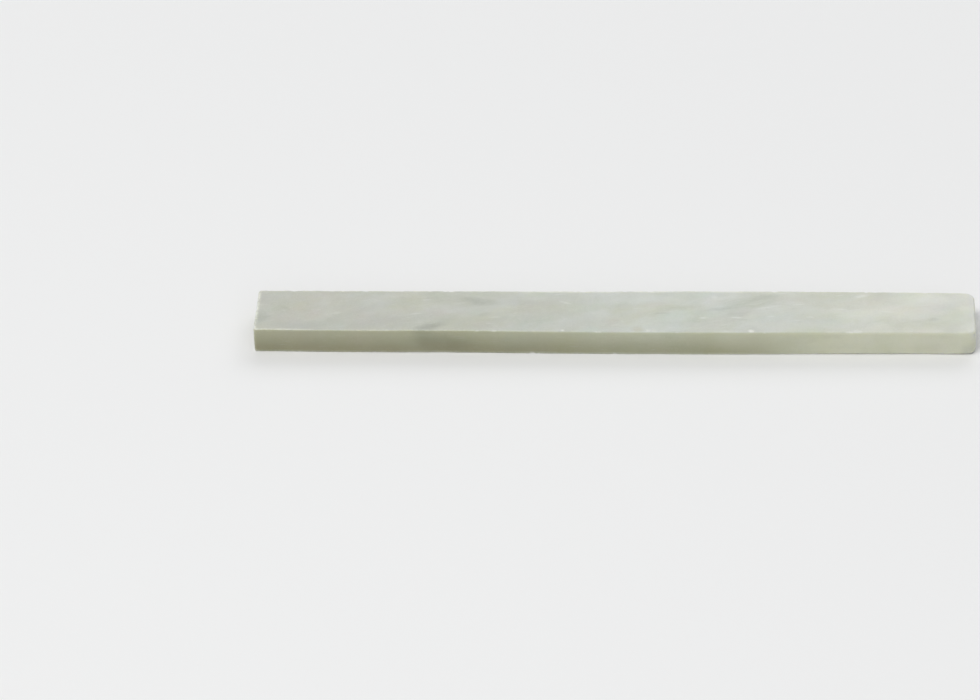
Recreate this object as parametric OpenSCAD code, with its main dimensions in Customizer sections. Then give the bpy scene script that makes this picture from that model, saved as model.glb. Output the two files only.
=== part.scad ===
// Flat marking chalk: one bar of natural soapstone, sawn to a rectangular
// section and worn soft along its arrises.
//
// One solid, lying on a broad face. Origin at the centre of the lower broad
// face, +X along the length, +Y across the width, +Z up through the thickness.
// The -X end is the squarer sawn end, the +X end has the rounder corners.

/* [Bar] */
// Length from end to end
bar_l = 127; // [60:1:180]
// Width across the broad face
bar_w = 12.5; // [9:0.1:26]
// Thickness between the broad faces
bar_t = 4.7; // [3:0.1:7]

/* [Edges] */
// Radius worn on the arrises around both broad faces
arris_r = 0.3; // [0.1:0.05:0.4]
// Radius of the two upright corners at the squarer end
sawn_corner_r = 0.5; // [0.5:0.1:2]
// Radius of the two upright corners at the rounder end
round_corner_r = 1.6; // [0.5:0.1:3.5]

/* [Bruises] */
// Number of small bruises along the front upper arris
bruise_n = 4; // [0:1:4]
// Length of the longest bruise, along the arris
bruise_l = 2.2; // [1.2:0.1:4]
// Depth of a bruise, measured square to the corner of the section
bruise_d = 0.15; // [0.05:0.01:0.3]

/* [Hidden] */
$fn = 64;

stone = [0.78, 0.80, 0.74];

// Places of the bruises as a share of the length from the middle, and the
// length of each as a share of the longest
bruises = [[-0.071, 0.4], [0.047, 0.75], [0.19, 0.5], [0.334, 1]];

// Radius of the ball that leaves a scallop of length l and depth d
function ball_r(l, d) = l * l / (8 * d) + d / 2;

// The uncut corner of the section stands this far outside the worn arris
arris_gap = arris_r * (sqrt(2) - 1);

// Half section: the rectangle from the origin to l along +X and bar_t high,
// with the two corners on its +X side worn to the arris radius
module half_section(l) {
    square([l - arris_r, bar_t]);
    translate([0, arris_r]) square([l, bar_t - 2 * arris_r]);
    intersection() {
        union() {
            translate([l - arris_r, arris_r]) circle(arris_r);
            translate([l - arris_r, bar_t - arris_r]) circle(arris_r);
        }
        square([l, bar_t]);
    }
}

// Straight length of the bar with its full section, from x0 to x1
module run(x0, x1) {
    translate([x0, 0, 0]) rotate([90, 0, 90]) linear_extrude(x1 - x0) {
        half_section(bar_w / 2);
        mirror([1, 0]) half_section(bar_w / 2);
    }
}

// One end on the +X side: the strip between the corners and the two upright
// corners of plan radius r, each a quarter turn of the same half section. A
// block inside them reaches 1 mm into the run, so that they are all one stone
module end(r) {
    half_l = bar_w / 2 - r;
    tie = (r - arris_r) / 2;
    translate([bar_l / 2 - r, 0, 0]) {
        translate([-1, -half_l - tie, 0])
            cube([1 + tie, 2 * (half_l + tie), bar_t]);
        translate([0, half_l, 0]) rotate([90, 0, 0])
            linear_extrude(2 * half_l) half_section(r);
        for (side = [0, 1]) mirror([0, side, 0])
            translate([0, half_l, 0]) rotate_extrude(angle = 90) half_section(r);
    }
}

// Ball that scoops one shallow bruise out of the front upper arris
module bruise(x, l, d) {
    r = ball_r(l, d);
    out = (r - d - arris_gap) / sqrt(2);
    translate([x, -bar_w / 2 - out, bar_t + out]) sphere(r);
}

module chalk_bar() {
    color(stone) difference() {
        union() {
            run(-bar_l / 2 + sawn_corner_r, bar_l / 2 - round_corner_r);
            end(round_corner_r);
            mirror([1, 0, 0]) end(sawn_corner_r);
        }
        for (i = [0 : 1 : bruise_n - 1])
            bruise(bruises[i][0] * bar_l, bruises[i][1] * bruise_l, bruise_d);
    }
}

chalk_bar();
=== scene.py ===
"""Flat bar of natural soapstone marking chalk, lying on a pale floor.

The CAD node chalk_bar gives the place and size. A detailed mesh of the same bar replaces it: worn and
bruised arrises, the slight bow of the sawn sides, rounder corners at one end, and saw marks on the squarer one.
"""

import math

import bpy
import numpy as np
from mathutils import Matrix, Vector


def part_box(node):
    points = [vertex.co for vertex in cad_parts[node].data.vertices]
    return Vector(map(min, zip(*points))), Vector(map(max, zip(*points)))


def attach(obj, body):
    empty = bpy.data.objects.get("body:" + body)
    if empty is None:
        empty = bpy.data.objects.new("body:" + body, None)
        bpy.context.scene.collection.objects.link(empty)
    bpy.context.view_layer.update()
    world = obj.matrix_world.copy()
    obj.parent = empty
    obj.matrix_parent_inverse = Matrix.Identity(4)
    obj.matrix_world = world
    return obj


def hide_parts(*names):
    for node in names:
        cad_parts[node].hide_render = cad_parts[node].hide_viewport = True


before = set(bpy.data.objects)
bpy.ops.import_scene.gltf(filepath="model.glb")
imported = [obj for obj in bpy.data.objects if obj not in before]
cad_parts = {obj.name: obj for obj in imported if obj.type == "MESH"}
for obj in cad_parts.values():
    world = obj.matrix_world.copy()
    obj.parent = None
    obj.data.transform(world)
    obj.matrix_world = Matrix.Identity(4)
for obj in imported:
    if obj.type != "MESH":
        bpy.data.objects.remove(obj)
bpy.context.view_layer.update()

# ---------------------------------------------------------------- camera

# The view was solved from the edges of the bar: metres and degrees, in the row frame.
AZIMUTH, ELEVATION, ROLL = -3.943, 35.311, -1.999
FOCAL_PX = 5300.0
DISTANCE, SHIFT_X, SHIFT_Y = 0.93872, 0.022075, 0.002974


def make_camera():
    a, e, r = (math.radians(v) for v in (AZIMUTH, ELEVATION, ROLL))
    forward = Vector((math.sin(a) * math.cos(e), math.cos(a) * math.cos(e), -math.sin(e)))
    right = Vector((math.cos(a), -math.sin(a), 0.0))
    up = right.cross(forward)
    right, up = right * math.cos(r) + up * math.sin(r), up * math.cos(r) - right * math.sin(r)
    data = bpy.data.cameras.new("camera")
    data.sensor_width = 36.0
    data.lens = FOCAL_PX * 36.0 / 980.0
    data.clip_start, data.clip_end = 0.05, 50.0
    cam = bpy.data.objects.new("camera", data)
    place = -(right * SHIFT_X) - (up * SHIFT_Y) - (forward * DISTANCE)
    turn = Matrix((right, up, -forward)).transposed().to_4x4()
    cam.matrix_world = Matrix.Translation(place) @ turn
    bpy.context.scene.collection.objects.link(cam)
    bpy.context.scene.camera = cam


make_camera()

# ---------------------------------------------------------------- noise


class Noise:
    """Seeded gradient noise in three dimensions, about -0.7 to 0.7."""

    def __init__(self, seed):
        rng = np.random.RandomState(seed)
        self.perm = np.concatenate([rng.permutation(256)] * 3)
        g = rng.normal(size=(256, 3))
        self.grad = g / np.linalg.norm(g, axis=1)[:, None]

    def __call__(self, p):
        p = np.asarray(p, float)
        i = np.floor(p).astype(int)
        f = p - i
        i &= 255
        w = f * f * f * (f * (f * 6 - 15) + 10)
        out = 0.0
        for dx in (0, 1):
            for dy in (0, 1):
                for dz in (0, 1):
                    h = self.perm[self.perm[self.perm[i[..., 0] + dx] + i[..., 1] + dy] + i[..., 2] + dz]
                    d = f - np.array([dx, dy, dz], float)
                    dot = (self.grad[h] * d).sum(-1)
                    wx = w[..., 0] if dx else 1 - w[..., 0]
                    wy = w[..., 1] if dy else 1 - w[..., 1]
                    wz = w[..., 2] if dz else 1 - w[..., 2]
                    out = out + dot * wx * wy * wz
        return out

    def fbm(self, p, octaves=3, gain=0.5):
        p = np.asarray(p, float)
        total, amp = 0.0, 1.0
        for k in range(octaves):
            total = total + amp * self(p * 2.03**k + 17.3 * k)
            amp *= gain
        return total


def smooth(e0, e1, x):
    t = np.clip((x - e0) / (e1 - e0), 0, 1)
    return t * t * (3 - 2 * t)


def curve(points):
    """A smooth curve through given points, as a function."""
    xs = np.array([p[0] for p in points], float)
    ys = np.array([p[1] for p in points], float)
    slope = np.gradient(ys, xs)

    def f(x):
        x = np.clip(x, xs[0], xs[-1])
        k = np.clip(np.searchsorted(xs, x) - 1, 0, len(xs) - 2)
        h = xs[k + 1] - xs[k]
        t = (x - xs[k]) / h
        return (
            (2 * t**3 - 3 * t**2 + 1) * ys[k]
            + (t**3 - 2 * t**2 + t) * h * slope[k]
            + (-2 * t**3 + 3 * t**2) * ys[k + 1]
            + (t**3 - t**2) * h * slope[k + 1]
        )

    return f


# ---------------------------------------------------------------- the bar's mesh, in millimetres

lo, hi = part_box("chalk_bar")
L, W, T = ((hi[k] - lo[k]) * 1000.0 for k in range(3))
MID_X, MID_Y, BASE_Z = (lo[0] + hi[0]) * 500.0, (lo[1] + hi[1]) * 500.0, lo[2] * 1000.0
R_SAWN, R_ROUND, R_FRONT = 0.5, 1.8, 1.4  # plan radius of the upright corners: at -X, at +X and back, at +X and front

# Rows of the mesh. A side's own points count, with half of the corner at each of its ends.
HALF_SAWN, HALF_ROUND = 4, 10
NX, NY = 636, 46
ARC, WALL = 6, 10


def graded(n, length, edge):
    """n steps along length, finer near both ends, where a step is about edge."""
    t = np.linspace(0, 1, n + 1)
    even = length / n
    k = max(0.0, 1 - edge / even)
    return length * (t - k * np.sin(2 * math.pi * t) / (2 * math.pi))


def outline():
    """The plan outline, counterclockwise from the middle of the front corner at the sawn end: points and inward normals."""
    pts, nrm, along = [], [], []

    def arc(cx, cy, r, a0, a1, n):
        for t in np.linspace(a0, a1, n + 1)[:-1]:
            c, s = math.cos(math.radians(t)), math.sin(math.radians(t))
            pts.append((cx + r * c, cy + r * s))
            nrm.append((-c, -s))

    def line(x0, y0, x1, y1, n, nx, ny, edge):
        d = math.hypot(x1 - x0, y1 - y0)
        for t in graded(n, d, edge)[:-1] / d:
            pts.append((x0 + (x1 - x0) * t, y0 + (y1 - y0) * t))
            nrm.append((nx, ny))

    hx, hy = L / 2, W / 2
    xl, xr, xf = -hx + R_SAWN, hx - R_ROUND, hx - R_FRONT
    ns = NX - HALF_SAWN - HALF_ROUND
    arc(xl, -hy + R_SAWN, R_SAWN, 225, 270, HALF_SAWN)
    line(xl, -hy, xf, -hy, ns, 0, 1, 0.14)
    arc(xf, -hy + R_FRONT, R_FRONT, 270, 315, HALF_ROUND)
    arc(xf, -hy + R_FRONT, R_FRONT, 315, 360, HALF_ROUND)
    line(hx, -hy + R_FRONT, hx, hy - R_ROUND, NY - 2 * HALF_ROUND, -1, 0, 0.2)
    arc(xr, hy - R_ROUND, R_ROUND, 0, 45, HALF_ROUND)
    arc(xr, hy - R_ROUND, R_ROUND, 45, 90, HALF_ROUND)
    line(xr, hy, xl, hy, ns, 0, -1, 0.14)
    arc(xl, hy - R_SAWN, R_SAWN, 90, 135, HALF_SAWN)
    arc(xl, hy - R_SAWN, R_SAWN, 135, 180, HALF_SAWN)
    line(-hx, hy - R_SAWN, -hx, -hy + R_SAWN, NY - 2 * HALF_SAWN, 1, 0, 0.12)
    arc(xl, -hy + R_SAWN, R_SAWN, 180, 225, HALF_SAWN)
    return np.array(pts), np.array(nrm)


OUT_P, OUT_N = outline()
NO = len(OUT_P)
assert NO == 2 * (NX + NY)
step = np.linalg.norm(np.roll(OUT_P, -1, 0) - OUT_P, axis=1)
OUT_S = np.concatenate([[0], np.cumsum(step)[:-1]])

na, nb, nc, nd, ne = (Noise(s) for s in (11, 23, 37, 51, 68))


def arris_radius(top):
    """Radius of the worn arris along the outline. It is wider at the round end and on the corners there."""
    x, y = OUT_P[:, 0], OUT_P[:, 1]
    s = np.stack([x * 0.09, y * 0.09, np.full(NO, 3.0 if top else 9.0)], 1)
    fine = np.stack([x * 0.9, y * 0.9, np.full(NO, 5.0 if top else 7.0)], 1)
    base = np.where(y < 0, 0.17 + 0.17 * smooth(-28.0, -4.0, x), 0.23) if top else 0.27
    r = base * (1 + 0.35 * na.fbm(s, 3) + 0.22 * nb.fbm(fine, 2))
    end = smooth(L / 2 - 5.0, L / 2 - 0.5, x)
    r = r + end * (0.16 if top else 0.42)
    if not top:
        r = r + 0.16 * smooth(20, 42, x) * (y < 0)
    sawn = smooth(-L / 2 + 2.5, -L / 2, x)
    r = r * (1 - sawn * 0.3)
    limit = np.where(x < -L / 2 + R_SAWN + 0.01, R_SAWN * 0.8, 1.0)
    return np.minimum(np.maximum(r, 0.1), limit)


AT, AB = arris_radius(True), arris_radius(False)


def belt():
    """Rings from the flat of the upper face, over its arris, down the wall and round the lower arris."""
    rings, kind = [], []
    for k in range(ARC + 1):
        a = k / ARC * math.pi / 2
        rings.append((AT * (1 - math.sin(a)), T - AT * (1 - math.cos(a))))
        kind.append(("top_arris", k / ARC))
    for k in range(1, WALL):
        t = k / WALL
        t = t - 0.35 * math.sin(2 * math.pi * t) / (2 * math.pi)
        rings.append((np.zeros(NO), (T - AT) * (1 - t) + AB * t))
        kind.append(("wall", t))
    for k in range(ARC + 1):
        a = k / ARC * math.pi / 2
        rings.append((AB * (1 - math.cos(a)), AB * (1 - math.sin(a))))
        kind.append(("low_arris", k / ARC))
    co = np.zeros((len(rings), NO, 3))
    for i, (inset, z) in enumerate(rings):
        co[i, :, :2] = OUT_P + OUT_N * inset[:, None]
        co[i, :, 2] = z
    return co, kind


def patch(ring):
    """Inner points of the flat bounded by ring, as NX + 1 by NY + 1 points, whose border is the ring."""
    g = np.zeros((NX + 1, NY + 1, 3))
    front = ring[: NX + 1]
    right = ring[NX : NX + NY + 1]
    back = ring[NX + NY : 2 * NX + NY + 1][::-1]
    left = np.concatenate([ring[2 * NX + NY :], ring[:1]])[::-1]

    def share(line, axis):
        d = np.abs(line[-1, axis] - line[0, axis])
        return np.abs(line[:, axis] - line[0, axis]) / d

    u = ((share(front, 0) + share(back, 0)) / 2)[:, None, None]
    v = ((share(left, 1) + share(right, 1)) / 2)[None, :, None]
    g = (
        (1 - v) * front[:, None]
        + v * back[:, None]
        + (1 - u) * left[None]
        + u * right[None]
        - (1 - u) * (1 - v) * front[0]
        - u * (1 - v) * front[-1]
        - (1 - u) * v * back[0]
        - u * v * back[-1]
    )
    g[:, 0], g[:, -1], g[0], g[-1] = front, back, left, right
    return g


BELT, KIND = belt()
TOP, LOW = patch(BELT[0]), patch(BELT[-1])
NR = len(BELT)

verts = [BELT.reshape(-1, 3)]
ring_id = np.arange(NR * NO).reshape(NR, NO)
count = NR * NO


def patch_ids(ring, grid):
    """Vertex numbers of a patch: its border uses the ring's own vertices."""
    global count
    ids = np.zeros((NX + 1, NY + 1), int)
    inner = grid[1:-1, 1:-1].reshape(-1, 3)
    ids[1:-1, 1:-1] = np.arange(count, count + len(inner)).reshape(NX - 1, NY - 1)
    verts.append(inner)
    count += len(inner)
    ids[:, 0] = ring[: NX + 1]
    ids[-1, :] = ring[NX : NX + NY + 1]
    ids[:, -1] = ring[NX + NY : 2 * NX + NY + 1][::-1]
    ids[0, :] = np.concatenate([ring[2 * NX + NY :], ring[:1]])[::-1]
    return ids


TOP_ID = patch_ids(ring_id[0], TOP)
LOW_ID = patch_ids(ring_id[-1], LOW)
V = np.concatenate(verts)

# What each vertex is: 1 upper face, 2 lower face, 0 wall and arrises
flat = np.zeros(len(V), int)
flat[TOP_ID[1:-1, 1:-1].ravel()] = 1
flat[LOW_ID[1:-1, 1:-1].ravel()] = 2


def plan_depth(p):
    """Distance from the wall, inwards, in plan."""
    r = np.where(p[:, 0] < 0, R_SAWN, np.where(p[:, 1] < 0, R_FRONT, R_ROUND))
    qx = np.abs(p[:, 0]) - (L / 2 - r)
    qy = np.abs(p[:, 1]) - (W / 2 - r)
    return -(np.hypot(np.maximum(qx, 0), np.maximum(qy, 0)) + np.minimum(np.maximum(qx, qy), 0) - r)


depth = np.maximum(plan_depth(V), 0)
to_top, to_low = np.hypot(depth, T - V[:, 2]), np.hypot(depth, V[:, 2])
near_top, near_low = np.exp(-((to_top / 0.42) ** 2)), np.exp(-((to_low / 0.42) ** 2))

# Outward direction of each vertex on the ideal bar
out = np.zeros_like(V)
out[flat == 1, 2] = 1
out[flat == 2, 2] = -1
for i, (name, t) in enumerate(KIND):
    a = t * math.pi / 2
    side, rise = {"top_arris": (math.sin(a), math.cos(a)), "wall": (1, 0), "low_arris": (math.cos(a), -math.sin(a))}[name]
    out[ring_id[i], :2] = -OUT_N * side
    out[ring_id[i], 2] = rise

# Slow wander of the saw: the two long sides bow a little, and the front one draws in at the sawn end.
front_bow = curve([(-63.5, 0.12), (-60, 0.09), (-55, 0.0), (-45, -0.06), (-32, 0.02), (-16, -0.10), (0, -0.2), (12, -0.16), (24, -0.08), (37, 0.0), (50, 0.06), (58, 0.03), (63.5, 0.0)])
back_bow = curve([(-63.5, -0.18), (-55, -0.15), (-32, -0.09), (-8, 0.0), (8, 0.14), (20, 0.25), (30, 0.24), (42, 0.17), (52, 0.13), (63.5, 0.04)])
x, y, z = V[:, 0].copy(), V[:, 1].copy(), V[:, 2].copy()
wf = np.clip(0.5 - y / W, 0, 1)
V[:, 1] += wf * front_bow(x) + (1 - wf) * back_bow(x)
# the wall's foot leans out by a few hundredths near the middle and in at the round end
foot = curve([(-63.5, 0), (-20, -0.03), (-9, -0.06), (8, -0.05), (24, -0.1), (34, -0.03), (46, 0.0), (55, 0.12), (60, 0.08), (63.5, 0.02)])
V[:, 1] += wf * foot(x) * (1 - z / T)
V[:, 1] += wf * (0.12 - 0.12 * smooth(-22.0, 10.0, x)) * smooth(T - 1.2, T, z)
# the rounder end was cut a shade out of square
V[:, 0] += 0.11 * wf * smooth(L / 2 - 4.0, L / 2 - 0.5, x)

# Faces that are sawn and rubbed are flat to a few hundredths of a millimetre
rise = 0.030 * na.fbm(np.stack([x * 0.07, y * 0.12, z * 0.1], 1), 3)
rise += 0.012 * nb.fbm(np.stack([x * 0.35, y * 0.5, z * 0.5], 1), 3)
rise += 0.005 * nc.fbm(np.stack([x * 1.7, y * 1.7, z * 1.7], 1), 2)
wall = np.abs(out[:, 2]) < 0.5
rise[wall] *= 1.25
rise[out[:, 2] < -0.5] = -np.abs(rise[out[:, 2] < -0.5])
rise *= np.where(out[:, 2] < -0.5, smooth(0, 1.5, depth), 1)
V += out * rise[:, None]

# The arrises are ragged on the scale of the stone's grain
ragged = 0.040 * nd.fbm(np.stack([x * 1.1, y * 1.1, z * 0.4], 1), 3) + 0.022 * ne.fbm(np.stack([x * 3.1, y * 3.1, z * 1.1], 1), 2)
ragged = np.minimum(ragged, 0.02)
V += out * (ragged * (near_top + near_low))[:, None]

V[:, 2] = np.maximum(V[:, 2], 0.0)

mesh_co = V.copy()

# ---------------------------------------------------------------- bruises and small chips


def arris_point(x0, side, top):
    """A point of a long arris as it is after the bow, and the direction square to it."""
    y0 = side * W / 2 + (front_bow(np.array([x0]))[0] if side < 0 else back_bow(np.array([x0]))[0])
    if side < 0 and not top:
        y0 += foot(np.array([x0]))[0]
    return np.array([x0, y0, T if top else 0.0]), np.array([0.0, side, 1.0 if top else -1.0]) / math.sqrt(2)


CHIPPED = np.zeros(len(V))


def scoop(corner, away, length, depth_mm, radius, skew=0.0, pale=1.0):
    """Cuts a shallow scallop of that length and depth out of a worn arris, by pushing its points out of a rough ball."""
    ball = length**2 / (8 * depth_mm) + depth_mm / 2
    centre = corner - away * (radius * (math.sqrt(2) - 1)) + away * (ball - depth_mm)
    centre = centre + np.array([0.0, 0.0, 1.0]) * skew
    d = V - centre
    dist = np.linalg.norm(d, axis=1)
    idx = np.nonzero(dist < ball * 1.05)[0]
    if not len(idx):
        return
    rough = 0.03 * nc.fbm(V[idx] * 2.3 + centre * 1.7, 3)
    reach = ball + rough
    move = np.maximum(reach - dist[idx], 0)
    V[idx] += d[idx] / dist[idx][:, None] * move[:, None]
    CHIPPED[idx] = np.maximum(CHIPPED[idx], np.clip(move / 0.04, 0, 1) * pale)


# bruises that show on the front upper arris: place, length, depth
for x0, length, d, inward, pale in (
    (-24.0, 0.7, 0.03, 0.10, 0.35),
    (-21.0, 0.6, 0.04, 0.30, 0.40),
    (-8.9, 0.55, 0.05, 0.52, 0.62),
    (-2.7, 0.9, 0.02, 0.25, 0.30),
    (6.1, 0.75, 0.04, 0.58, 0.45),
    (7.2, 0.9, 0.02, 0.55, 0.26),
    (11.3, 0.6, 0.03, 0.15, 0.25),
    (24.2, 0.78, 0.035, 0.50, 0.85),
    (41.6, 1.2, 0.03, 0.42, 0.38),
    (42.7, 1.4, 0.035, 0.50, 0.46),
):
    e, away = arris_point(x0, -1, True)
    lean = math.radians(35.0 - 60.0 * inward)
    scoop(e + np.array([0.0, 0.12 + inward, 0.0]), np.array([0.0, -math.sin(lean), math.cos(lean)]), length, d, 0.08, 0.0, pale)

rng = np.random.RandomState(7)
for side, top, n, small, deep in ((-1, True, 9, 0.45, 0.035), (1, True, 42, 0.7, 0.10), (-1, False, 26, 0.7, 0.09), (1, False, 34, 0.8, 0.11)):
    for x0 in rng.uniform(-L / 2 + 1.5, L / 2 - 3.0, n):
        e, away = arris_point(x0, side, top)
        length = small * rng.uniform(0.5, 1.0) * rng.choice([1.0, 1.0, 1.6])
        d = min(deep * rng.uniform(0.4, 1.0), length * 0.28)
        lean = rng.uniform(-0.12, 0.12)
        scoop(e, away, length, d, 0.17 if top and side < 0 else 0.26, lean, rng.uniform(0.15, 0.7))
# the squarer end lost a few crumbs along its own arrises
for k in range(16):
    y0 = rng.uniform(-W / 2 + 0.6, W / 2 - 0.6)
    top = rng.rand() < 0.5
    e = np.array([-L / 2, y0, T if top else 0.0])
    away = np.array([-1.0, 0.0, 1.0 if top else -1.0]) / math.sqrt(2)
    length = rng.uniform(0.4, 1.1)
    scoop(e, away, length, min(rng.uniform(0.04, 0.12), length * 0.28), 0.18)
for sy in (-1, 1):
    for k in range(3):
        e = np.array([-L / 2, sy * W / 2, rng.uniform(0.6, T - 0.6)])
        away = np.array([-1.0, sy, 0.0]) / math.sqrt(2)
        scoop(e, away, rng.uniform(0.5, 1.0), rng.uniform(0.05, 0.1), 0.45)
V[:, 2] = np.maximum(V[:, 2], 0.0)

# ---------------------------------------------------------------- faces, bake map and attributes

quads = []
j = np.arange(NO)
jn = (j + 1) % NO
for i in range(NR - 1):
    quads.append(np.stack([ring_id[i, j], ring_id[i + 1, j], ring_id[i + 1, jn], ring_id[i, jn]], 1))
belt_faces = len(quads) * NO


def grid_quads(ids, flip):
    a, b, c, d = ids[:-1, :-1], ids[1:, :-1], ids[1:, 1:], ids[:-1, 1:]
    q = np.stack([a, d, c, b] if flip else [a, b, c, d], -1)
    return q.reshape(-1, 4)


quads.append(grid_quads(TOP_ID, False))
quads.append(grid_quads(LOW_ID, True))
F = np.concatenate(quads)


def relax(limit, rounds):
    """Eases the points where two facets fold sharply, such as the rim of a chip, towards their neighbours."""
    tri = np.concatenate([F[:, [0, 1, 2]], F[:, [0, 2, 3]]])
    pairs = np.sort(np.concatenate([tri[:, [0, 1]], tri[:, [1, 2]], tri[:, [2, 0]]]), axis=1)
    owner = np.tile(np.arange(len(tri)), 3)
    order = np.lexsort((pairs[:, 1], pairs[:, 0]))
    pairs, owner = pairs[order], owner[order]
    a, b, edge = owner[0::2], owner[1::2], pairs[0::2]
    for _ in range(rounds):
        n = np.cross(V[tri[:, 1]] - V[tri[:, 0]], V[tri[:, 2]] - V[tri[:, 0]])
        n /= np.maximum(np.linalg.norm(n, axis=1), 1e-12)[:, None]
        sharp = (n[a] * n[b]).sum(1) < math.cos(math.radians(limit))
        if not sharp.any():
            break
        moved = np.unique(edge[sharp])
        mark = np.zeros(len(V), bool)
        mark[moved] = True
        near = edge[mark[edge[:, 0]] | mark[edge[:, 1]]]
        total, number = np.zeros((len(V), 3)), np.zeros(len(V))
        for i, k in ((0, 1), (1, 0)):
            np.add.at(total, near[:, i], V[near[:, k]])
            np.add.at(number, near[:, i], 1)
        V[moved] = 0.5 * V[moved] + 0.5 * total[moved] / number[moved][:, None]


relax(42.0, 12)
V[:, 2] = np.maximum(V[:, 2], 0.0)

# The bake map unrolls the bar: under side, front wall, upper face and back wall in one strip, cut in two at the
# middle of the length, with the two ends beside it. Millimetres on a square sheet.
SHEET, PROFILE = 71.8, 0.4 + T - 0.5 + 0.42
prof = []
for name, t in KIND:
    prof.append({"top_arris": 0.4 * t, "wall": 0.4 + (T - 0.5) * t, "low_arris": 0.4 + T - 0.5 + 0.42 * t}[name])
prof = np.array(prof)
xs_front = OUT_S[: NX + 1] - OUT_S[HALF_SAWN] - L / 2 + R_SAWN
ys_grid = graded(NY, W, 0.14) - W / 2
HALF = NX // 2


def strip_uv(xc, c, right_half):
    u = np.where(right_half, xc + 0.25 - xs_front[HALF], xc + 64.4)
    v = np.where(right_half, c + W / 2 + PROFILE + W + 36.1, c + W / 2 + PROFILE + W + 0.25)
    return np.stack([u, v], -1) / SHEET


uv = []
for i in range(NR - 1):
    for k0, (di, dj) in enumerate(((0, 0), (1, 0), (1, 1), (0, 1))):
        pass
    corner = np.zeros((NO, 4, 2))
    for k0, (di, dj) in enumerate(((0, 0), (1, 0), (1, 1), (0, 1))):
        p = prof[i + di]
        jj = j + dj
        # front
        m = j < NX
        corner[m, k0] = strip_uv(xs_front[jj[m]], -W / 2 - p, j[m] >= HALF)
        # right end
        m = (j >= NX) & (j < NX + NY)
        h = (jj[m] - NX) / NY * 12.6
        corner[m, k0] = np.stack([65.6 + p * np.ones(m.sum()), 0.6 + h], -1) / SHEET
        # back
        m = (j >= NX + NY) & (j < 2 * NX + NY)
        col = 2 * NX + NY - jj[m]
        corner[m, k0] = strip_uv(xs_front[col], W / 2 + p, (2 * NX + NY - 1 - j[m]) >= HALF)
        # left end
        m = j >= 2 * NX + NY
        h = (jj[m] - 2 * NX - NY) / NY * 12.6
        corner[m, k0] = np.stack([65.6 + p * np.ones(m.sum()), 15.0 + h], -1) / SHEET
    uv.append(corner.reshape(-1, 2))
gi, gj = np.meshgrid(np.arange(NX), np.arange(NY), indexing="ij")
for flip in (False, True):
    corner = np.zeros((NX * NY, 4, 2))
    order = ((0, 0), (0, 1), (1, 1), (1, 0)) if flip else ((0, 0), (1, 0), (1, 1), (0, 1))
    for k0, (di, dj) in enumerate(order):
        xc = xs_front[(gi + di).ravel()]
        yc = ys_grid[(gj + dj).ravel()]
        c = -W / 2 - PROFILE - (yc + W / 2) if flip else yc
        corner[:, k0] = strip_uv(xc, c, (gi.ravel() >= HALF))
    uv.append(corner.reshape(-1, 2))
UV = np.concatenate(uv)

me = bpy.data.meshes.new("chalk_bar_stone")
real = V * 0.001 + np.array([MID_X, MID_Y, BASE_Z]) * 0.001
me.vertices.add(len(real))
me.vertices.foreach_set("co", real.ravel())
me.loops.add(F.size)
me.loops.foreach_set("vertex_index", F.ravel())
me.polygons.add(len(F))
me.polygons.foreach_set("loop_start", np.arange(len(F)) * 4)
me.update(calc_edges=True)
me.validate()
me.polygons.foreach_set("use_smooth", np.ones(len(F), bool))
layer = me.uv_layers.new(name="OFBake")
layer.data.foreach_set("uv", UV.ravel())


def attribute(name, values):
    at = me.attributes.new(name, "FLOAT", "POINT")
    at.data.foreach_set("value", np.asarray(values, np.float32))


# how worn a place is: arrises and bruises carry crushed, whiter stone, and the arrises' whitening is partly a painted
# highlight
reach = np.where(y > 0, 0.31, 0.20 + 0.07 * smooth(-52.0, -60.0, x))
worn_arris = np.maximum(
    np.exp(-(((depth - 0.5 * reach) / reach) ** 2) - ((T - V[:, 2]) / 0.15) ** 2),
    np.exp(-((to_low / 0.30) ** 2)),
)
attribute("arris", worn_arris)
attribute("bruise", CHIPPED)
# turn marks where the upper arrises round over; the material paints shade there
attribute("turn", smooth(0.985, 0.90, out[:, 2]) * smooth(0.05, 0.35, out[:, 2]))
attribute("wall", smooth(0.97, 0.55, np.abs(out[:, 2])))
attribute("sawn_end", smooth(-L / 2 + 1.2, -L / 2 + 0.4, x) * (out[:, 0] < -0.6))

bar = bpy.data.objects.new("chalk_bar_stone", me)
bpy.context.scene.collection.objects.link(bar)
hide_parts("chalk_bar")
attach(bar, "root")

# ---------------------------------------------------------------- materials


def lin(r, g, b):
    """Linear colour of an sRGB colour given from 0 to 255."""
    return tuple((c / 255 / 12.92) if c / 255 <= 0.04045 else ((c / 255 + 0.055) / 1.055) ** 2.4 for c in (r, g, b)) + (1.0,)


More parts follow.
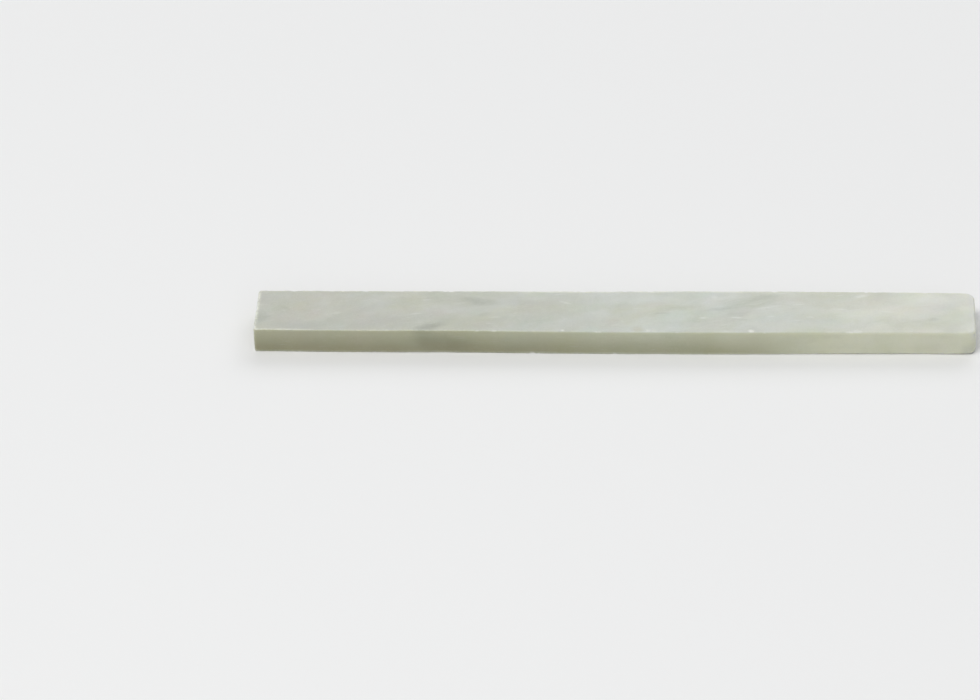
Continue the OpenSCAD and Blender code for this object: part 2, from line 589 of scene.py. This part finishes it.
class Tree:
    def __init__(self, name):
        self.mat = bpy.data.materials.new(name)
        self.mat.use_nodes = True
        self.t = self.mat.node_tree
        self.t.nodes.clear()

    def node(self, kind, **props):
        n = self.t.nodes.new(kind)
        for k, v in props.items():
            setattr(n, k, v)
        return n

    def put(self, socket, value):
        if isinstance(value, bpy.types.NodeSocket):
            self.t.links.new(value, socket)
        elif value is not None:
            socket.default_value = value

    def math(self, op, a, b=None, c=None, clamp=False):
        n = self.node("ShaderNodeMath", operation=op, use_clamp=clamp)
        for s, v in zip(n.inputs, (a, b, c)):
            self.put(s, v)
        return n.outputs[0]

    def vec(self, op, a, b=None, scale=None):
        n = self.node("ShaderNodeVectorMath", operation=op)
        self.put(n.inputs[0], a)
        self.put(n.inputs[1], b)
        if scale is not None:
            self.put(n.inputs["Scale"], scale)
        return n.outputs["Value"] if op in ("DISTANCE", "LENGTH", "DOT_PRODUCT") else n.outputs["Vector"]

    def mapping(self, v, scale=(1, 1, 1), rot=(0, 0, 0), loc=(0, 0, 0), kind="POINT"):
        n = self.node("ShaderNodeMapping", vector_type=kind)
        self.put(n.inputs["Vector"], v)
        n.inputs["Location"].default_value = loc
        n.inputs["Rotation"].default_value = tuple(math.radians(a) for a in rot)
        n.inputs["Scale"].default_value = scale
        return n.outputs[0]

    def noise(self, v, scale, detail=2.0, rough=0.5, distortion=0.0, out="Fac"):
        n = self.node("ShaderNodeTexNoise")
        self.put(n.inputs["Vector"], v)
        n.inputs["Scale"].default_value = scale
        n.inputs["Detail"].default_value = detail
        n.inputs["Roughness"].default_value = rough
        n.inputs["Distortion"].default_value = distortion
        return n.outputs[out]

    def span(self, v, a, b, c=0.0, d=1.0, smooth=True):
        n = self.node("ShaderNodeMapRange", interpolation_type="SMOOTHSTEP" if smooth else "LINEAR")
        self.put(n.inputs["Value"], v)
        for s, w in zip(("From Min", "From Max", "To Min", "To Max"), (a, b, c, d)):
            n.inputs[s].default_value = w
        return n.outputs["Result"]

    def mix(self, f, a, b, blend="MIX"):
        n = self.node("ShaderNodeMix", data_type="RGBA", blend_type=blend, clamp_factor=True)
        self.put(n.inputs[0], f)
        self.put(n.inputs[6], a)
        self.put(n.inputs[7], b)
        return n.outputs[2]

    def ramp(self, f, stops, mode="B_SPLINE"):
        n = self.node("ShaderNodeValToRGB")
        r = n.color_ramp
        r.interpolation = mode
        while len(r.elements) < len(stops):
            r.elements.new(0.5)
        for e, (p, c) in zip(r.elements, stops):
            e.position, e.color = p, c
        self.put(n.inputs[0], f)
        return n.outputs[0]

    def spot(self, v, middle, size, turn):
        """1 at the middle of a soft ellipsoid and 0 outside it."""
        return self.span(self.vec("LENGTH", self.mapping(v, size, (0, 0, turn), middle, "TEXTURE")), 1.25, 0.15)

    def attr(self, name):
        return self.node("ShaderNodeAttribute", attribute_name=name, attribute_type="GEOMETRY").outputs["Fac"]


def soapstone():
    s = Tree("soapstone")
    m = s.math
    at = s.node("ShaderNodeTexCoord").outputs["Object"]
    p = s.vec("SCALE", at, scale=1000.0)  # millimetres
    sep = s.node("ShaderNodeSeparateXYZ")
    s.put(sep.inputs[0], p)
    px, py, pz = sep.outputs

    # outlines wander, on the scale of centimetres and of millimetres
    slow = s.vec("SUBTRACT", s.noise(p, 0.055, 1.0, out="Color"), (0.5, 0.5, 0.5))
    fast = s.vec("SUBTRACT", s.noise(p, 0.5, 2.0, out="Color"), (0.5, 0.5, 0.5))
    q = s.vec("ADD", p, s.vec("ADD", s.vec("SCALE", slow, scale=4.0), s.vec("SCALE", fast, scale=1.1)))

    def bed(size, seed=(0, 0, 0), v=q, turn=11.0):
        """Coordinates drawn out along the beds of the stone, which cross the bar at a slant."""
        return s.mapping(v, size, (6, -7, turn), seed, "TEXTURE")

    # tone along the bar: olive grey, then cooler and milkier, then warmer and paler
    wander = m("MULTIPLY", m("SUBTRACT", s.noise(p, 0.07, 1.0), 0.5), 22.0)
    along = s.span(m("ADD", px, wander), -63.5, 63.5, smooth=False)
    tone = s.ramp(along, [
        (0.0, lin(192, 193, 182)),
        (0.20, lin(193, 194, 182)),
        (0.32, lin(190, 192, 180)),
        (0.45, lin(197, 200, 190)),
        (0.57, lin(204, 209, 201)),
        (0.69, lin(200, 203, 192)),
        (0.84, lin(213, 215, 201)),
        (1.0, lin(221, 222, 209)),
    ])
    plain = tone
    wall = s.attr("wall")
    # soft clouds: milkier and cooler, and greener and warmer
    milky = s.span(s.noise(bed((12, 6.5, 6)), 1.0, 1.0, 0.45), 0.42, 0.66)
    olive = s.span(s.noise(bed((11, 5.5, 5), (31, 7, 3)), 1.0, 1.0, 0.45), 0.44, 0.68)
    tone = s.mix(m("MULTIPLY", milky, 0.38), tone, lin(206, 209, 204))
    tone = s.mix(m("MULTIPLY", olive, 0.38), tone, lin(191, 193, 176))
    blur = s.noise(bed((4.8, 3.1, 3.1), (3, 17, 9)), 1.0, 1.0, 0.5)
    tone = s.mix(s.span(blur, 0.48, 0.80, 0.0, 0.24), tone, lin(213, 216, 211))
    tone = s.mix(s.span(blur, 0.52, 0.20, 0.0, 0.24), tone, lin(184, 187, 174))
    fine = s.noise(bed((1.4, 1.05, 1.05), (13, 5, 1)), 1.0, 2.0, 0.55)
    tone = s.mix(s.span(fine, 0.50, 0.80, 0.0, 0.12), tone, lin(220, 222, 217))
    tone = s.mix(s.span(fine, 0.50, 0.20, 0.0, 0.12), tone, lin(178, 181, 168))
    # the hue drifts: yellower and bluer, greener and faintly lilac
    drift = s.noise(bed((10, 6, 6), (61, 13, 2)), 1.0, 3.0, 0.55)
    tone = s.mix(s.span(drift, 0.50, 0.74), tone, s.mix(1.0, tone, (1.0, 1.0, 0.940, 1.0), "MULTIPLY"))
    tone = s.mix(s.span(drift, 0.50, 0.26), tone, s.mix(1.0, tone, (0.965, 0.982, 1.0, 1.0), "MULTIPLY"))
    tinge = s.noise(bed((8, 5, 5), (17, 43, 5)), 1.0, 3.0, 0.55)
    tone = s.mix(s.span(tinge, 0.50, 0.74), tone, s.mix(1.0, tone, (0.966, 1.0, 0.964, 1.0), "MULTIPLY"))
    tone = s.mix(s.span(tinge, 0.50, 0.26), tone, s.mix(1.0, tone, (1.0, 0.966, 0.992, 1.0), "MULTIPLY"))
    # thin smoky wisps, here and there
    wisp = s.noise(bed((7.5, 0.95, 1.4), (5, 2, 8), turn=14.0), 1.0, 1.5, 0.5)
    where = s.span(s.noise(p, 0.075, 1.0), 0.50, 0.66)
    tone = s.mix(m("MULTIPLY", s.span(wisp, 0.56, 0.76), m("MULTIPLY", where, 0.19)), tone, lin(221, 223, 219))
    tone = s.mix(m("MULTIPLY", s.span(wisp, 0.45, 0.27), m("MULTIPLY", where, 0.19)), tone, lin(172, 177, 164))

    # the beds show less on the narrow sides
    tone = s.mix(m("MULTIPLY", wall, 0.42), tone, plain)

    # marks of this bar: middle and half sizes in millimetres, turn in degrees, strength, colour
    grey, green, smoke, white = lin(176, 179, 173), lin(176, 180, 160), lin(160, 165, 152), lin(228, 230, 226)
    for middle, size, turn, strength, colour in (
        ((-63.6, -2.4, 4.7), (3.0, 3.4, 5.0), 0, 0.46, grey),
        ((-62.9, 3.6, 4.7), (2.4, 3.4, 4.0), 0, 0.34, lin(184, 180, 174)),
        ((-59.4, 1.2, 4.7), (2.4, 3.0, 3.0), 0, 0.24, green),
        ((-40.0, -3.6, 4.7), (10.0, 2.6, 3.0), 6, 0.32, grey),
        ((-51.5, -4.2, 4.7), (7.0, 2.2, 3.0), 4, 0.20, grey),
        ((-25.5, -3.8, 4.7), (6.0, 2.2, 3.0), 6, 0.20, grey),
        ((24.6, 3.1, 4.7), (7.0, 2.6, 3.0), 8, 0.30, green),
        ((55.5, -4.4, 4.7), (8.0, 2.8, 2.5), 0, 0.20, green),
        ((-56.2, -4.6, 4.7), (7.0, 1.7, 3.0), 8, 0.28, grey),
        ((-58.1, 0.9, 4.7), (1.3, 0.45, 1.0), -30, 0.26, smoke),
        ((-46.5, -1.2, 4.7), (12.0, 1.5, 3.0), 22, 0.24, grey),
        ((-37.5, 1.0, 4.7), (7.5, 1.8, 3.0), 12, 0.24, green),
        ((-32.6, -5.35, 4.5), (2.9, 1.1, 2.0), 22, 0.76, lin(160, 162, 151)),
        ((-30.2, -3.1, 4.7), (3.2, 1.1, 2.0), 34, 0.24, smoke),
        ((-33.4, -6.3, 3.0), (2.2, 1.2, 2.6), 0, 0.40, smoke),
        ((-30.0, -6.4, 2.0), (6.5, 0.7, 2.6), 0, 0.38, lin(142, 143, 122)),
        ((-24.2, 2.8, 4.7), (4.0, 1.3, 2.0), -8, 0.60, smoke),
        ((-16.5, 2.3, 4.7), (6.5, 1.3, 2.0), -3, 0.24, grey),
        ((-62.2, -2.6, 4.7), (1.9, 1.6, 2.0), 0, 0.28, smoke),
        ((23.3, -2.3, 4.7), (1.6, 0.30, 0.6), 0, 0.22, smoke),
        ((-23.2, -1.1, 4.7), (1.9, 0.60, 1.2), 8, 0.26, smoke),
        ((-19.5, -2.6, 4.7), (3.4, 1.0, 2.0), 10, 0.16, grey),
        ((-8.2, 1.3, 4.7), (1.8, 0.42, 0.8), -22, 0.24, smoke),
        ((8.0, -1.3, 4.7), (1.8, 0.40, 0.8), 4, 0.32, smoke),
        ((5.2, 4.0, 4.7), (7.0, 1.5, 2.5), 2, 0.34, lin(216, 221, 217)),
        ((11.0, 0.6, 4.7), (3.8, 0.9, 2.0), 15, 0.26, green),
        ((19.4, 0.9, 4.7), (4.2, 0.62, 2.0), 13, 0.30, smoke),
        ((26.0, 2.2, 4.7), (3.6, 0.90, 2.0), 10, 0.26, green),
        ((21.8, -5.2, 4.7), (3.4, 0.8, 1.0), 0, 0.26, green),
        ((27.2, 4.6, 4.7), (3.0, 1.3, 2.0), 8, 0.26, smoke),
        ((20.0, 4.7, 4.7), (4.5, 0.8, 2.0), 12, 0.22, white),
        ((53.8, -2.6, 4.7), (1.7, 0.60, 2.0), 14, 0.12, green),
        ((56.6, -1.9, 4.7), (1.6, 0.50, 2.0), 10, 0.34, lin(166, 170, 154)),
        ((59.6, -1.2, 4.7), (3.2, 1.7, 2.0), 6, 0.24, lin(222, 224, 212)),
        ((36.4, 0.6, 4.7), (3.6, 1.5, 2.0), 8, 0.20, white),
        # at the rounder end's front corner: painted shade low on the corner and a painted highlight near its top
        ((63.3, -5.6, 1.4), (1.7, 1.6, 1.7), 0, 0.36, grey),
        ((63.3, -5.3, 4.2), (0.9, 1.3, 1.0), 0, 0.30, white),
        ((56.5, 4.2, 4.7), (7.0, 2.2, 2.5), 0, 0.36, white),
        ((46.5, 1.6, 4.7), (8.5, 3.4, 3.0), 4, 0.24, white),
        ((44.0, -4.6, 4.7), (7.0, 3.0, 3.5), 2, 0.22, white),
    ):
        tone = s.mix(m("MULTIPLY", s.spot(q, middle, size, turn), strength), tone, colour)
    near = s.vec("ADD", p, s.vec("SCALE", fast, scale=0.35))
    warm = s.spot(near, (4.3, -5.4, 4.7), (1.3, 1.1, 1.0), 0)
    tone = s.mix(m("MULTIPLY", warm, 0.42), tone, lin(188, 184, 158))
    # and the short pale strokes where its powder shows
    for middle, size, turn, strength in (
        ((15.7, -1.8, 4.7), (0.9, 0.34, 0.6), 2, 0.34),
        ((21.5, -1.7, 4.7), (1.3, 0.34, 0.6), 1, 0.36),
        ((27.6, -1.3, 4.7), (1.0, 0.32, 0.6), 4, 0.20),
        ((17.6, 4.6, 4.7), (0.8, 0.60, 0.8), 0, 0.22),
        ((26.8, 1.4, 4.7), (2.6, 0.42, 0.8), 14, 0.22),
        ((34.6, -1.5, 4.7), (0.9, 0.32, 0.6), 0, 0.24),
        ((43.6, 5.0, 4.7), (1.5, 0.50, 0.6), 16, 0.42),
        ((39.6, 1.0, 4.7), (1.5, 0.34, 0.6), -6, 0.18),
        ((48.0, 0.2, 4.7), (1.5, 0.25, 0.6), -12, 0.20),
        ((-49.0, -0.9, 4.7), (0.9, 0.40, 0.6), 20, 0.20),
        ((-8.6, 2.6, 4.7), (1.4, 0.30, 0.6), -20, 0.22),
        ((24.4, 2.4, 4.7), (1.8, 0.22, 0.6), 12, 0.14),
    ):
        tone = s.mix(m("MULTIPLY", s.spot(near, middle, size, turn), strength), tone, lin(236, 238, 234))

    # the narrow sides and ends are less scuffed, so they show the stone's own deeper olive. From the squarer end to
    # about 30 mm past the middle the ramp also darkens them, most near that end: painted shade.
    deep = s.ramp(along, [
        (0.0, (0.80, 0.785, 0.645, 1.0)),
        (0.28, (0.81, 0.80, 0.66, 1.0)),
        (0.48, (0.865, 0.855, 0.715, 1.0)),
        (0.64, (0.858, 0.850, 0.712, 1.0)),
        (0.69, (0.858, 0.848, 0.715, 1.0)),
        (0.765, (0.975, 0.964, 0.852, 1.0)),
        (0.84, (0.965, 0.955, 0.865, 1.0)),
        (1.0, (0.955, 0.96, 0.895, 1.0)),
    ])
    # painted shade: the sides and ends grow darker and browner towards their foot, fully up to about 18 mm past the
    # middle and fading out by 34 mm, and a little less right at the foot
    painted_foot_shade = m("MULTIPLY", s.span(pz, 4.4, 0.8), s.span(m("ADD", px, m("MULTIPLY", wander, 0.5)), 34.0, 18.0, 0.09, 1.0))
    painted_foot_shade = m("MULTIPLY", painted_foot_shade, s.span(pz, 0.05, 0.6, 0.3, 1.0))
    deep = s.mix(painted_foot_shade, deep, s.mix(1.0, deep, (0.745, 0.72, 0.65, 1.0), "MULTIPLY"))
    tone = s.mix(wall, tone, s.mix(1.0, tone, deep, "MULTIPLY"))

    # crushed, whiter stone on arrises and bruises; on the arrises partly a painted highlight, and painted shade where
    # they round over
    grain = s.noise(p, 3.1, 3.0, 0.65)
    rub = s.noise(s.mapping(p, (0.35, 1, 1)), 0.5, 2.0, 0.5)
    arris = m("MULTIPLY", s.attr("arris"), s.span(m("MULTIPLY", m("ADD", grain, rub), 0.5), 0.36, 0.60))
    # painted shade: where the upper arrises round over, the tone is darkened a little, more on the half towards the
    # rounder end, to hold down the light they catch
    turn = s.attr("turn")
    tone = s.mix(m("MULTIPLY", turn, s.span(px, -25.0, 10.0, 0.30, 1.0)), tone, s.mix(1.0, tone, (0.93, 0.93, 0.925, 1.0), "MULTIPLY"))
    # the upper arrises towards the sawn end, the sawn end's own arrises and the lower arris are whiter: crushed
    # stone, and partly a painted highlight of the light they catch
    worn = m("ADD", s.span(px, -15.0, 5.0, 0.28, 0.0), s.span(px, -61.0, -52.0, 0.30, 0.0))
    worn = m("MAXIMUM", worn, s.span(px, -62.2, -63.1, 0.0, 0.95))
    worn = m("MAXIMUM", worn, s.span(pz, 3.0, 1.0, 0.0, 0.50))
    chalky = m("MULTIPLY", s.span(m("ADD", px, wander), -24.0, -8.0), m("MULTIPLY", s.span(px, 34.0, 22.0), s.span(py, 4.5, 5.8)))
    worn = m("MAXIMUM", worn, m("MULTIPLY", chalky, 1.0))
    tone = s.mix(m("MULTIPLY", arris, worn), tone, lin(232, 233, 222))
    tone = s.mix(m("MULTIPLY", s.span(px, 62.0, 63.2), s.span(pz, 2.6, 4.4, 0.0, 0.45)), tone, lin(209, 211, 208))
    bruise = s.attr("bruise")
    tone = s.mix(m("MULTIPLY", bruise, s.span(grain, 0.3, 0.6, 0.55, 0.95)), tone, lin(236, 236, 231))

    # powder lying in the grain, hair scratches in two directions, and a few pits
    powder = s.noise(p, 8.0, 2.0, 0.6)
    dusty = s.span(wall, 0.0, 1.0, 0.20, 0.11, smooth=False)
    tone = s.mix(m("MULTIPLY", s.span(powder, 0.50, 0.76), dusty), tone, lin(234, 235, 231))
    tone = s.mix(m("MULTIPLY", s.span(powder, 0.50, 0.24), dusty), tone, lin(150, 153, 136))
    hair_a = s.span(s.noise(s.mapping(near, (3.6, 0.09, 0.09), (0, 0, 25), (0, 0, 0), "TEXTURE"), 1.0, 2.0, 0.5), 0.58, 0.70)
    hair_b = s.span(s.noise(s.mapping(near, (2.6, 0.08, 0.08), (0, 0, 3), (7, 1, 5), "TEXTURE"), 1.0, 2.0, 0.5), 0.60, 0.72)
    hair_a = m("MULTIPLY", hair_a, s.span(s.noise(p, 0.16, 1.0), 0.46, 0.62))
    hair_b = m("MULTIPLY", hair_b, s.span(s.noise(s.mapping(p, loc=(40, 9, 2)), 0.13, 1.0), 0.48, 0.62))
    hair_a = m("MULTIPLY", hair_a, m("SUBTRACT", 1.0, m("MULTIPLY", wall, 0.92)))
    hair_b = m("MULTIPLY", hair_b, m("SUBTRACT", 1.0, wall))
    # on the narrow sides they run along the length and keep to the surface
    hair_w = s.span(s.noise(s.mapping(p, (2.8, 60.0, 0.075), (0, 2.2, 0), (3, 2, 9), "TEXTURE"), 1.0, 2.0, 0.5), 0.60, 0.74)
    hair_w = m("MULTIPLY", hair_w, s.span(s.noise(s.mapping(p, loc=(11, 5, 8)), 0.22, 1.0), 0.44, 0.60))
    ends = s.span(m("ABSOLUTE", px), 62.3, 63.0, 1.0, 0.0)
    hair_w = m("MULTIPLY", hair_w, m("MULTIPLY", m("MULTIPLY", wall, ends), 0.62))
    hair = m("MAXIMUM", m("MAXIMUM", hair_a, hair_b), hair_w)
    tone = s.mix(m("MULTIPLY", hair, 0.26), tone, lin(232, 234, 230))
    hole = s.node("ShaderNodeTexVoronoi", feature="F1", distance="EUCLIDEAN")
    s.put(hole.inputs["Vector"], near)
    hole.inputs["Scale"].default_value = 0.8
    deepest = s.span(s.noise(hole.outputs["Position"], 2.0, 0.0), 0.56, 0.74, 0.0, 0.11)
    ragged = m("ADD", hole.outputs["Distance"], m("MULTIPLY", m("SUBTRACT", s.noise(p, 7.0, 2.0), 0.5), 0.20))
    pit = m("LESS_THAN", ragged, deepest)
    tone = s.mix(m("MULTIPLY", pit, 0.20), tone, lin(158, 162, 148))

    # other short pale scuffs, few
    cells = s.node("ShaderNodeTexVoronoi", feature="F1", distance="EUCLIDEAN")
    s.put(cells.inputs["Vector"], s.mapping(near, (3.4, 0.55, 0.55), (0, 0, 5), (0, 0, 0), "TEXTURE"))
    cells.inputs["Scale"].default_value = 0.42
    dot = m("MULTIPLY", s.span(cells.outputs["Distance"], 0.20, 0.05), s.span(s.noise(cells.outputs["Position"], 3.0, 0.0), 0.54, 0.66))
    scuffed = m("MULTIPLY", dot, s.span(wall, 0.0, 1.0, 0.24, 0.05, smooth=False))
    tone = s.mix(scuffed, tone, lin(232, 233, 229))

    # saw marks stand out as powder on the squarer end
    sawn = s.attr("sawn_end")
    lines = s.noise(s.mapping(p, (1, 6.0, 0.42), (9, 0, 0), (0, 0, 0), "TEXTURE"), 1.0, 2.0, 0.6)
    tone = s.mix(m("MULTIPLY", sawn, s.span(lines, 0.42, 0.66, 0.06, 0.34)), tone, lin(220, 222, 214))

    # fine rubbing marks cross the rounder end
    rubbed = m("MULTIPLY", s.span(px, 62.4, 63.2), wall)
    strokes = s.noise(s.mapping(p, (1, 2.6, 0.11), (-6, 0, 0), (0, 0, 0), "TEXTURE"), 1.0, 2.0, 0.6)
    tone = s.mix(m("MULTIPLY", rubbed, s.span(strokes, 0.46, 0.70, 0.0, 0.22)), tone, lin(226, 228, 224))

    # roughness: waxy where rubbed, dry where crushed
    rough = s.span(s.noise(q, 0.45, 3.0, 0.6), 0.3, 0.7, 0.40, 0.54)
    rough = m("ADD", rough, m("MULTIPLY", arris, 0.12))
    rough = m("ADD", rough, m("MULTIPLY", bruise, 0.25))
    rough = m("ADD", rough, m("MULTIPLY", sawn, 0.12), clamp=True)

    # bump: fine grain, faint saw lines at a slant, deeper ones on the squarer end
    g1 = s.noise(p, 2.2, 3.0, 0.6)
    g2 = s.noise(p, 6.5, 2.0, 0.6)
    saw = s.noise(s.mapping(p, (0.42, 7.0, 7.0), (0, 0, 24), (0, 0, 0), "TEXTURE"), 1.0, 2.0, 0.6)
    height = m("ADD", m("MULTIPLY", g1, 0.020), m("MULTIPLY", g2, 0.012))
    height = m("ADD", height, m("MULTIPLY", saw, 0.009))
    height = m("ADD", height, m("MULTIPLY", powder, 0.006))
    height = m("SUBTRACT", height, m("MULTIPLY", hair, 0.005))
    height = m("SUBTRACT", height, m("MULTIPLY", pit, 0.020))
    height = m("ADD", height, m("MULTIPLY", m("MULTIPLY", lines, sawn), 0.035))
    height = m("ADD", height, m("MULTIPLY", m("MULTIPLY", strokes, rubbed), 0.012))
    bump = s.node("ShaderNodeBump")
    bump.inputs["Strength"].default_value = 1.0
    bump.inputs["Distance"].default_value = 0.001
    s.put(bump.inputs["Height"], height)

    b = s.node("ShaderNodeBsdfPrincipled")
    s.put(b.inputs["Base Color"], tone)
    s.put(b.inputs["Roughness"], rough)
    s.put(b.inputs["Normal"], bump.outputs[0])
    b.inputs["IOR"].default_value = 1.54
    b.inputs["Subsurface Weight"].default_value = 0.7
    b.inputs["Subsurface Radius"].default_value = (1.0, 0.96, 0.7)
    b.inputs["Subsurface Scale"].default_value = 0.0011
    o = s.node("ShaderNodeOutputMaterial")
    s.put(o.inputs["Surface"], b.outputs[0])
    return s.mat


def pale_floor():
    s = Tree("pale_floor")
    p = s.node("ShaderNodeTexCoord").outputs["Object"]
    b = s.node("ShaderNodeBsdfPrincipled")
    f = s.noise(p, 3.0, 2.0)
    s.put(b.inputs["Base Color"], s.mix(f, (0.885, 0.885, 0.88, 1), (0.90, 0.90, 0.895, 1)))
    b.inputs["Roughness"].default_value = 0.75
    b.inputs["Specular IOR Level"].default_value = 0.2
    o = s.node("ShaderNodeOutputMaterial")
    s.put(o.inputs["Surface"], b.outputs[0])
    return s.mat


me.materials.append(soapstone())

# ---------------------------------------------------------------- floor and light

fm = bpy.data.meshes.new("floor")
R = 12.0
fm.from_pydata([(-R, -R, 0), (R, -R, 0), (R, R, 0), (-R, R, 0)], [], [(0, 1, 2, 3)])
fm.materials.append(pale_floor())
floor = bpy.data.objects.new("floor", fm)
floor.location.z = BASE_Z * 0.001
bpy.context.scene.collection.objects.link(floor)


def area(name, place, target, size, watts, colour=(1, 1, 1)):
    d = bpy.data.lights.new(name, "AREA")
    d.shape = "RECTANGLE"
    d.size, d.size_y = size
    d.energy = watts
    d.color = colour
    ob = bpy.data.objects.new(name, d)
    ob.location = place
    ob.rotation_mode = "QUATERNION"
    ob.rotation_quaternion = (Vector(target) - Vector(place)).to_track_quat("-Z", "Y")
    bpy.context.scene.collection.objects.link(ob)


area("key", (-0.45, -0.45, 1.35), (0, 0, 0), (0.8, 0.6), 10.8, (1.0, 0.995, 0.985))
area("back", (0.35, 1.15, 0.95), (0, 0, 0), (1.5, 0.8), 7.0, (1.0, 1.0, 1.0))
area("front", (0.3, -1.4, 0.7), (0, 0, 0), (1.4, 0.8), 3.3, (1.0, 1.0, 1.0))

world = bpy.data.worlds.new("studio")
world.use_nodes = True
world.node_tree.nodes["Background"].inputs[0].default_value = (0.95, 0.97, 1.0, 1.0)
world.node_tree.nodes["Background"].inputs[1].default_value = 0.34
bpy.context.scene.world = world
bpy.context.scene.view_settings.view_transform = "Standard"
